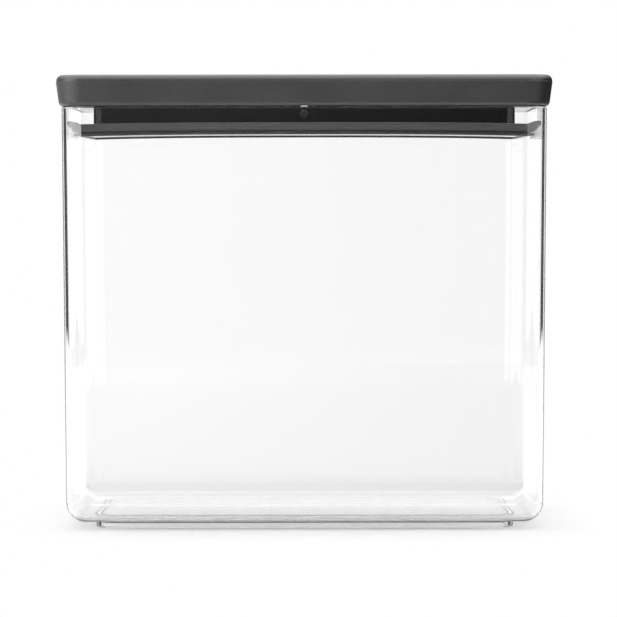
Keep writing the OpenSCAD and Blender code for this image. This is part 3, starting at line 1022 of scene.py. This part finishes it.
def silicone():
    """Dark grey silicone with a dusty bloom and a painted highlight on faces that look up."""
    material, tree = new_material("grey_silicone_rubber")
    place = add(tree, "ShaderNodeTexCoord").outputs["Object"]
    bloom = add(tree, "ShaderNodeTexNoise", {"Vector": place, "Scale": 1 / (BLOOM_MM * MM),
                "Detail": 4.0}).outputs[0]
    tone = add(tree, "ShaderNodeMix", {"Factor": bloom, "A": to_linear("484849"), "B": to_linear("525253")},
               data_type="RGBA").outputs[2]
    normal = add(tree, "ShaderNodeNewGeometry").outputs["Normal"]
    facing = add(tree, "ShaderNodeSeparateXYZ", {"Vector": normal}).outputs["Z"]
    # Painted highlight: faces that look up are mixed towards near white, more the more they face up.
    painted_highlight = add(tree, "ShaderNodeMapRange", {"Value": facing, "From Min": HIGHLIGHT_FROM,
                 "From Max": HIGHLIGHT_TO}).outputs[0]
    tone = add(tree, "ShaderNodeMix", {"Factor": painted_highlight, "A": tone, "B": to_linear("F0F0F0")},
               data_type="RGBA").outputs[2]
    rough = add(tree, "ShaderNodeMapRange", {"Value": bloom, "To Min": 0.42, "To Max": 0.6}).outputs[0]
    skin = add(tree, "ShaderNodeBsdfPrincipled", {"Base Color": tone, "Roughness": rough, "IOR": 1.42})
    return finish_material(material, skin.outputs[0])


SEAL_RUBBER = silicone()

# %% Build the seal
seat_r = SEAT_R + SEAL_FIT
groove_r = LIP_R - GROOVE_W
bm = bmesh.new()
sweep(bm, MAIN, [
    (seat_r, lip_top + SEAL_FIT),
    (groove_r, lip_top + SEAL_FIT),
    (groove_r, skirt_bottom),
    (root_r, skirt_bottom, ROOT_LOW_R),
    (tip_r, skirt_top, TIP_LOW_R),
    (tip_r - SKIRT_TIP, skirt_top, TIP_HIGH_R),
    (root_r - SKIRT_TIP, seat_top - SEAL_FIT, ROOT_HIGH_R),
    (seat_r, seat_top - SEAL_FIT)], closed=True)
slice_across(bm)
for vert in bm.verts:
    out = [max(abs(vert.co.x) / MM - MAIN[0], 0), max(abs(vert.co.y) / MM - MAIN[1], 0)]
    flare = min(max((math.hypot(*out) - root_r + SKIRT_TIP) / (SKIRT_FLARE + SKIRT_TIP), 0), 1)
    rise = CORNER_RISE * 2 * out[0] * out[1] / tip_r ** 2
    vert.co.z += (bow(vert) * max(flare * SKIRT_FOLLOWS, down_the_seat(vert)) + rise * flare) * MM
make_piece(bm, "wiper_seal_ring", SEAL_RUBBER, "lid", "wiper_seal")

# %% [markdown]
# ## The keys
#
# Two flat pale keys lock the collar to the cap. Each lies in a slot under the cap's lower edge, where only
# its end shows.

# %% Build the keys
KEY_SINK = 0.15
KEY_END = 6.5
KEY_SLACK = 0.28
KEY_EDGE_R = 0.08

keys_low, keys_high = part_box("collar_keys")
bm = bar(SLOT_W - 2 * FIT_GAP, keys_low.y / MM + KEY_SINK, -collar_front + KEY_END, keys_low.z / MM,
         keys_high.z / MM - KEY_SLACK)
bmesh.ops.bevel(bm, geom=bm.edges[:], offset=KEY_EDGE_R * MM, segments=3, profile=0.5, affect="EDGES",
                material=-1)
# Natural acetal: left undyed and slightly waxy, so it's the one off-white spot on the dark lid.
ACETAL = moulded_plastic("natural_acetal", "F0F0EC", "F6F6F3", roughness=0.4)
make_piece(add_twin(bm), "locking_keys", ACETAL, "lid", "collar_keys")

# %% [markdown]
# ## Light paths and the last lines
#
# Light runs along a clear wall by bouncing inside it many times, so the renderer is allowed more bounces
# than usual.

# %% Bounces and view transform
MANY_BOUNCES = 128
CLEAR_LAYERS = 16

cycles = bpy.context.scene.cycles
cycles.max_bounces = MANY_BOUNCES
cycles.glossy_bounces = MANY_BOUNCES
cycles.transmission_bounces = MANY_BOUNCES
cycles.transparent_max_bounces = CLEAR_LAYERS
bpy.context.scene.view_settings.view_transform = "Standard"
